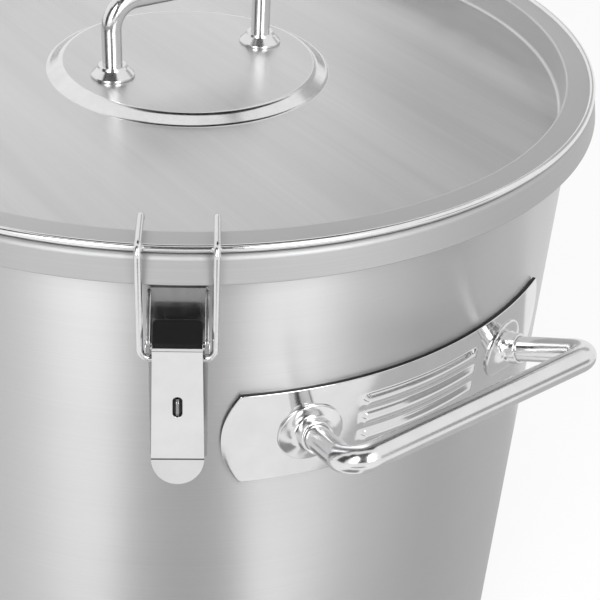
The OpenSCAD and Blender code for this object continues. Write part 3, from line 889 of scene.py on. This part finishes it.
def paleLight(nodes, links):  # camera, glossy and transmission rays together
    path = nodes.new("ShaderNodeLightPath")
    first = nodes.new("ShaderNodeMath")
    first.operation = "MAXIMUM"
    second = nodes.new("ShaderNodeMath")
    second.operation = "MAXIMUM"
    links.new(path.outputs["Is Camera Ray"], first.inputs[0])
    links.new(path.outputs["Is Glossy Ray"], first.inputs[1])
    links.new(first.outputs[0], second.inputs[0])
    links.new(path.outputs["Is Transmission Ray"], second.inputs[1])
    return second.outputs[0]


def makeStudio():
    world = bpy.data.worlds.new("studioWorld")
    bpy.context.scene.world = world
    world.use_nodes = True
    nodes, links = world.node_tree.nodes, world.node_tree.links
    fill = nodes["Background"]
    fill.inputs["Color"].default_value = (1, 1, 1, 1)
    fill.inputs["Strength"].default_value = studio["worldLevel"]
    white = nodes.new("ShaderNodeBackground")
    white.inputs["Color"].default_value = (1, 1, 1, 1)
    white.inputs["Strength"].default_value = 1
    mix = nodes.new("ShaderNodeMixShader")
    links.new(paleLight(nodes, links), mix.inputs[0])
    links.new(fill.outputs[0], mix.inputs[1])
    links.new(white.outputs[0], mix.inputs[2])
    links.new(mix.outputs[0], nodes["World Output"].inputs["Surface"])

    settle()
    bpy.ops.mesh.primitive_plane_add(size=studio["floor"], location=(0, 0, -studio["floorDown"]))
    floor = bpy.context.object
    floor.name = "studioFloor"
    paint = bpy.data.materials.new("floorPaint")
    paint.use_nodes = True
    nodes, links = paint.node_tree.nodes, paint.node_tree.links
    base = nodes["Principled BSDF"]
    base.inputs["Base Color"].default_value = (*grey(studio["floorTone"]), 1)
    base.inputs["Roughness"].default_value = studio["floorRough"]
    base.inputs["Specular IOR Level"].default_value = 0
    glow = nodes.new("ShaderNodeEmission")
    part = nodes.new("ShaderNodeMath")
    part.operation = "MULTIPLY"
    part.inputs[1].default_value = studio["floorGlow"]
    links.new(paleLight(nodes, links), part.inputs[0])
    mix = nodes.new("ShaderNodeMixShader")
    links.new(part.outputs[0], mix.inputs[0])
    links.new(base.outputs[0], mix.inputs[1])
    links.new(glow.outputs[0], mix.inputs[2])
    links.new(mix.outputs[0], nodes["Material Output"].inputs["Surface"])
    floor.data.materials.append(paint)

    middle = Vector(studio["middle"])
    for name, turn, rise, away, wide, tall, power in studio["softboxes"]:
        place = middle + aimed(turn, rise) * away
        bpy.ops.object.light_add(type="AREA", location=place,
                                 rotation=(middle - place).to_track_quat("-Z", "Y").to_euler())
        lamp = bpy.context.object
        lamp.name = name
        lamp.data.shape = "RECTANGLE"
        lamp.data.size = wide
        lamp.data.size_y = tall
        lamp.data.energy = power

    for name, turn, rise, away, wide, tall, tone in studio["cards"]:
        place = middle + aimed(turn, rise) * away
        standCard(name, place, (middle - place).to_track_quat("Z", "Y").to_euler(), wide, tall, tone)
    for name, x, y, wide, tall, turn, tone in studio["floorCards"]:
        standCard(name, (x, y, studio["cardUp"]), (0, 0, radians(turn)), wide, tall, tone)


def aimed(turn, rise):
    turn, rise = radians(turn), radians(rise)
    return Vector((cos(turn) * cos(rise), sin(turn) * cos(rise), sin(rise)))


def standCard(name, place, facing, wide, tall, tone):  # seen only in reflections
    bpy.ops.mesh.primitive_plane_add(size=1, location=place, rotation=facing)
    card = bpy.context.object
    card.name = name
    card.scale = (wide, tall, 1)
    card.visible_camera = False
    card.visible_shadow = False
    card.visible_diffuse = False
    cloth = bpy.data.materials.new(name + "Cloth")
    cloth.use_nodes = True
    nodes, links = cloth.node_tree.nodes, cloth.node_tree.links
    glow = nodes.new("ShaderNodeEmission")
    glow.inputs["Color"].default_value = (*grey(tone), 1)
    links.new(glow.outputs[0], nodes["Material Output"].inputs["Surface"])
    card.data.materials.append(cloth)


makeStudio()
bpy.context.scene.view_settings.view_transform = "Standard"
print("studio lit")

settle()
